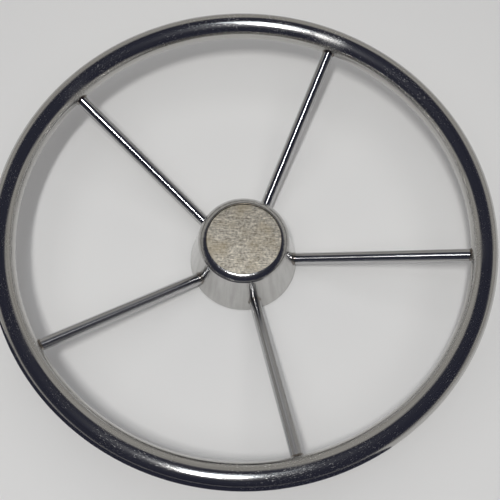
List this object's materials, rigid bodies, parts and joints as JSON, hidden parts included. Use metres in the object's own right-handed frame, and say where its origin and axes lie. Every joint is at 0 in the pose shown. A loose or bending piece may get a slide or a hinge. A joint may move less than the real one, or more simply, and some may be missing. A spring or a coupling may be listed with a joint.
{
  "type": "ship steering wheel",
  "caption": "Dished stainless-steel boat steering wheel: round-tube rim on straight rod spokes, with a polished conical hub, a satin centre cap and a tapered shaft boss inside.",
  "frame": {"origin": "centre of the hub's back face, which is the bottom of the whole wheel", "axes": "+Z along the shaft towards the person who steers, +X along the first spoke"},
  "size_m": [0.3938, 0.3938, 0.0723],
  "materials": {
    "polished_stainless": "mirror polished, fine scratches",
    "satin_stainless": "coarsely brushed, slightly stained",
    "machined_stainless": "turned",
    "dressed_weld": "ground and buffed weld",
    "black_rubber": "matte"
  },
  "bodies": {
    "wheel": {"rim_tube": "polished_stainless", "spoke_1": "polished_stainless", "spoke_2": "polished_stainless", "spoke_3": "polished_stainless", "spoke_4": "polished_stainless", "spoke_5": "polished_stainless", "rim_weld_1": "dressed_weld", "rim_weld_2": "dressed_weld", "rim_weld_3": "dressed_weld", "rim_weld_4": "dressed_weld", "rim_weld_5": "dressed_weld", "hub_weld_1": "dressed_weld", "hub_weld_2": "dressed_weld", "hub_weld_3": "dressed_weld", "hub_weld_4": "dressed_weld", "hub_weld_5": "dressed_weld", "hub_shell": "polished_stainless", "shaft_boss": "machined_stainless", "hub_back_plate": "machined_stainless", "plate_boss_weld": "dressed_weld", "plate_shell_weld": "dressed_weld", "shaft_key": "machined_stainless", "shaft_washer": "machined_stainless"},
    "cap": {"cap_face": "satin_stainless", "cap_body": "polished_stainless", "cap_o_ring": "black_rubber"},
    "nut": {"shaft_nut": "machined_stainless"}
  },
  "joints": [
    {"name": "cap_pull", "type": "slide", "parent": "wheel", "child": "cap", "axis": [0, 0, 1], "range_m": [0, 0.03]},
    {"name": "nut_turn", "type": "hinge", "parent": "wheel", "child": "nut", "pos_m": [0, 0, 0.0306], "axis": [0, 0, 1], "continuous": true}
  ]
}
